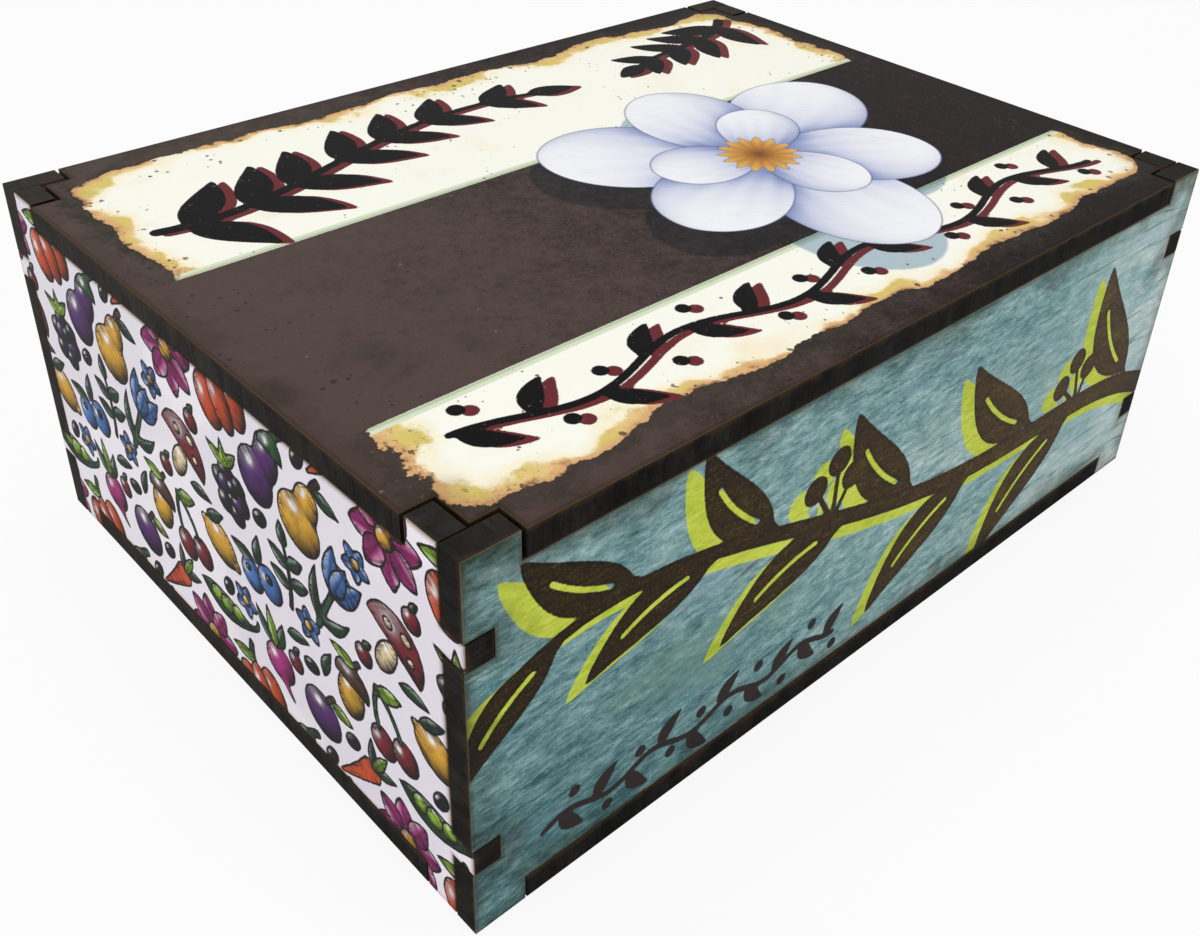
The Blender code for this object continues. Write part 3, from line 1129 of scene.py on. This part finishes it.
def all_black_shapes(u, v):
    """Distance to every black shape: a large spray, a smaller one, and the vine along the front band."""
    shapes = [spray(u, v, *sizes) for sizes in sprays]
    return np.minimum.reduce([*shapes, vine(u, v, vine_start, **vine_sizes)])


def sign_print_finish():
    """Print of an old enamel sign: brown ground, cream bands with burnt, chipped edges, painted motifs."""
    sign = Finish("lid_print", roughness=0.6, gloss=0.04)
    bulges = sign.noise(24, 2, 0.5)
    cloud = sign.noise(8, 4, 0.6, seed=1)
    ripple = sign.noise(2.2, 4, 0.65, seed=2)
    grit = sign.noise(0.5, 3, 0.65, seed=4)
    weave = sign.noise(0.42, 2, 0.6, seed=6)
    place = sign.place()
    across, up = place.part("X"), place.part("Y")
    # Painted shade: besides its mottle, the ground darkens towards the right end, as light falling off there
    # would make it.
    mottle = cloud * 0.6 + ripple * 0.7 + grit - across * 0.0045 - 0.06
    ground = mottle.rise(-0.4, 0.4).between((26, 16, 15), (82, 68, 64))
    ruddy = sign.noise(5, 4, 0.6, seed=8).rise(0.08, 0.3) * 0.45
    ground = ground.blend(ruddy, (80, 52, 40))
    mossy = sign.noise(16, 4, 0.6, seed=21).rise(0.06, 0.24) * 0.5
    ground = ground.blend(mossy, (54, 50, 40))
    sparkle = (sign.noise(0.7, 2, 0.7, seed=23) + ripple * 0.2).rise(0.14, 0.26)
    ground = ground.blend(sparkle * 0.5, (104, 92, 84))

    crumbs = sign.noise(1.3, 4, 0.7, seed=24)
    left_end = across.fall(-104, -88)
    crumbling = sign.noise(30, 2, 0.5, seed=25).rise(-0.04, 0.06) * (0.25 + left_end * 0.75)
    burn = sign.layer("burn") + bulges * 12 + cloud * 5 + ripple * 0.9 + crumbs * crumbling * 3.5
    in_band = (sign.layer("band") + weave * 0.3).rise(-0.1, 0.15)
    blotch = sign.noise(17, 4, 0.6, seed=12).rise(0.02, 0.3)
    cream = blotch.between((255, 255, 243), (255, 247, 226))
    rosy = sign.noise(11, 3, 0.6, seed=14).rise(0.1, 0.3) * 0.55
    cream = cream.blend(rosy, (253, 232, 224))
    patches = sign.noise(14, 2, 0.45, seed=10)
    tan = patches.rise(0.0, 0.1).between((238, 212, 160), (222, 208, 128))
    tan = tan.blend((burn + cloud * 3).rise(-2.6, -0.3), (222, 180, 138))
    tan = tan.blend((ripple + grit * 0.5).rise(0.04, 0.26) * 0.45, (206, 168, 114))
    tan = tan.blend((crumbs + grit * 0.4).rise(0.06, 0.16) * crumbling * 0.8, (122, 112, 62))
    singed = abs(burn + 0.2 + grit * 0.6).fall(0.1, 0.9) * (cloud + ripple * 0.5).rise(-0.04, 0.14)
    tan = tan.blend(singed * 0.7, (104, 74, 44))
    tan_reach = 3.0 + patches * 18 + cloud * 3 + ripple * 0.9
    field = cream.blend((burn + tan_reach).rise(-0.7, 1.0), tan)
    smoulder = (burn + tan_reach + 2.4).rise(-2.0, 2.4) * 0.5
    field = field.tint(smoulder, (255, 238, 196))

    soot_reach = 3.2 + sign.noise(13, 4, 0.65, seed=15) * 20
    soot = (burn - soot_reach + ripple * 3 + crumbs * 4).fall(-2.5, 2.0)
    sooty = soot * (0.45 + left_end * up.rise(-40, 30) * 0.45) * in_band
    ground = ground.blend(sooty, (45, 45, 35))
    flecks = (crumbs + grit * 0.5).rise(0.1, 0.2) * sign.noise(5, 3, 0.6, seed=19).rise(-0.06, 0.1)
    ground = ground.blend(flecks * soot * in_band * 0.7, (124, 116, 82))
    shade = ground.blend(burn.fall(-0.14, 0.12) * in_band, field)
    rule = abs(sign.layer("band") - 1.1 + weave * 0.3).fall(0.85, 1.1)
    rule_shade = sign.layer("band").rise(0.6, 1.3).between((190, 204, 170), (222, 230, 204))
    shade = shade.blend(rule * burn.fall(-0.6, 0.4), rule_shade)

    near_edge = abs(burn + 2).fall(1, 15)
    clusters = sign.noise(11, 3, 0.6, seed=18)
    spots = (sign.specks(3.4, 1) - clusters * 0.9 - ripple * 0.2 - near_edge * 0.06 + 0.07).fall(0.0, 0.04)
    shade = shade.blend(spots * 0.85, (44, 46, 50))
    blots = (sign.specks(11, 5) - ripple * 0.3 - near_edge * 0.14 + 0.1).fall(0.0, 0.02)
    shade = shade.blend(blots * near_edge * 0.8, (52, 46, 38))
    chips = (sign.specks(27, 9) - ripple * 0.1 + 0.01).fall(0.0, 0.02)
    shade = shade.blend(chips * 0.7, (122, 132, 134))

    soft_edge = (sign.layer("blossom_shadow") + ripple * 0.5).fall(-0.5, 0.6)
    shade = shade.tint(soft_edge, (179, 197, 215))
    ragged = ripple * 0.3 + grit * 0.3
    worn = (ripple + grit * 0.9).rise(0.2, 0.34)
    maroon = (sign.layer("black_shadow") + ragged).fall(-0.15, 0.15) * in_band
    shade = shade.blend(maroon * (1 - worn * 0.4), (106, 42, 46))
    black = (sign.layer("black") + ragged).fall(-0.15, 0.15)
    shade = shade.blend(black * (1 - worn * 0.4), (9, 8, 10))

    brushed = sign.noise(2.0, 4, 0.7, (0.3, 1, 1), 0.8, seed=20)
    for name in ("outer_tepals", "middle_tepals", "inner_tepals", "heart"):
        edge = sign.layer(name, "Alpha") + grit * 0.25
        wash = sign.layer(name, "Color").tint(brushed.rise(0.0, 0.3) * 0.3, (196, 202, 226))
        shade = shade.blend(edge.fall(-0.12, 0.12), wash)
        outline = abs(edge).fall(0.05, 0.4)
        shade = shade.blend(outline * 0.6, (84, 92, 134))
    fumes = (sign.layer("rim") + cloud * 20).fall(0, 8)
    shade = shade.tint(fumes * 0.45, (196, 188, 182))
    shade = scorch(sign, shade, (92, 71, 47))
    return sign.surface(shade, 0.5 + grit * 0.25, weave + ripple * 0.4, 0.00005)


lid = Board("lid", x_axis, y_axis, lid_step)
half_u, half_v = (half - sign_margin - sign_corner for half in (lid.half_width, lid.half_height))
past_u, past_v = np.abs(lid.u) - half_u, np.abs(lid.v) - half_v
lid.layers["burn"] = (
    np.hypot(np.maximum(past_u, 0), np.maximum(past_v, 0))
    + np.minimum(np.maximum(past_u, past_v), 0)
    - sign_corner
)
lid.layers["band"] = np.abs(lid.v - brown_band_middle) - brown_band_half
paint_blossom(lid)
lid.layers["blossom_shadow"] = blossom_distance(lid.u - blossom_shadow[0], lid.v - blossom_shadow[1])
lid.layers["black"] = all_black_shapes(lid.u, lid.v)
lid.layers["black_shadow"] = all_black_shapes(lid.u - black_shadow[0], lid.v - black_shadow[1])
piece = lid.make(sign_print_finish(), charred_edge, bare_board)
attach(piece, "lid")


# Studio
# Not part of the object: a pale floor, soft lamps, a white backdrop that only the camera and reflections see,
# and the camera that took the picture.

floor_size = 3.0
floor_gap = 0.0002
floor_whiteness = 0.88
floor_grey = (0.9, 0.9, 0.9)
ambient_strength = 0.60
white = (1, 1, 1)
reach = floor_size / 2
corners = [(-reach, -reach, 0), (reach, -reach, 0), (reach, reach, 0), (-reach, reach, 0)]
floor_mesh = bpy.data.meshes.new("floor")
floor_mesh.from_pydata(corners, [], [(0, 1, 2, 3)])
floor = add_object("floor", floor_mesh)
floor.location.z = cad_lowest.z - floor_gap
floor_finish = Finish("floor", roughness=0.8, gloss=0.1)
floor_finish.shader.inputs["Base Color"].default_value = (*floor_grey, 1)
seen_white = floor_finish.node("ShaderNodeEmission", {"Color": white, "Strength": 1.0})
seen = floor_finish.node("ShaderNodeLightPath", {}, "Is Camera Ray") * floor_whiteness
lit = Signal(floor_finish, floor_finish.shader.outputs["BSDF"])
both = floor_finish.node("ShaderNodeMixShader", {0: seen, 1: lit, 2: seen_white})
output = floor_finish.tree.nodes["Material Output"]
floor_finish.tree.links.new(both.socket, output.inputs["Surface"])
floor_mesh.materials.append(floor_finish.material)

world = bpy.data.worlds.new("studio")
bpy.context.scene.world = world
world.use_nodes = True
sky = Shading(world.node_tree)
direct = sky.node("ShaderNodeLightPath", {}, "Is Camera Ray")
for ray in ("Is Glossy Ray", "Is Transmission Ray"):
    direct = direct.higher(sky.node("ShaderNodeLightPath", {}, ray))
ambient = sky.node("ShaderNodeBackground", {"Color": white, "Strength": ambient_strength})
backdrop = sky.node("ShaderNodeBackground", {"Color": white, "Strength": 1.0})
chosen = sky.node("ShaderNodeMixShader", {0: direct, 1: ambient, 2: backdrop})
sky.tree.links.new(chosen.socket, sky.tree.nodes["World Output"].inputs["Surface"])

middle = (cad_lowest + cad_highest) / 2
# Each lamp: its name, its place, and its size and power
lamps = [
    ("top_lamp", (-0.15, 0.10, 1.10), 0.9, 2.9),
    ("front_lamp", (0.35, -1.00, 0.55), 0.8, 2.2),
    ("side_lamp", (-1.05, -0.10, 0.60), 0.8, 2.2),
]
for name, place, size, power in lamps:
    light = bpy.data.lights.new(name, "AREA")
    light.size, light.energy = size, power
    lamp = add_object(name, light)
    lamp.location = place
    lamp.rotation_euler = (middle - Vector(place)).to_track_quat("-Z", "Y").to_euler()

camera_place = (-0.20551, -0.21284, 0.22477)
camera_heading, camera_pitch, camera_roll = radians(44.96), radians(32.80), radians(2.85)
camera_lens = 39.918
camera_near = 0.01
picture_width, picture_height = 1200, 936
centre_column, centre_row = 644.6, 375.8

camera = add_object("camera", bpy.data.cameras.new("camera"))
camera.data.lens = camera_lens
camera.data.shift_x = (picture_width / 2 - centre_column) / picture_width
camera.data.shift_y = (centre_row - picture_height / 2) / picture_width
camera.data.clip_start = camera_near
heading = Matrix.Rotation(-camera_heading, 4, "Z")
tilt = Matrix.Rotation(pi / 2 - camera_pitch, 4, "X")
roll = Matrix.Rotation(camera_roll, 4, "Z")
camera.matrix_world = Matrix.Translation(camera_place) @ heading @ tilt @ roll
bpy.context.scene.camera = camera
bpy.context.scene.view_settings.view_transform = "Standard"
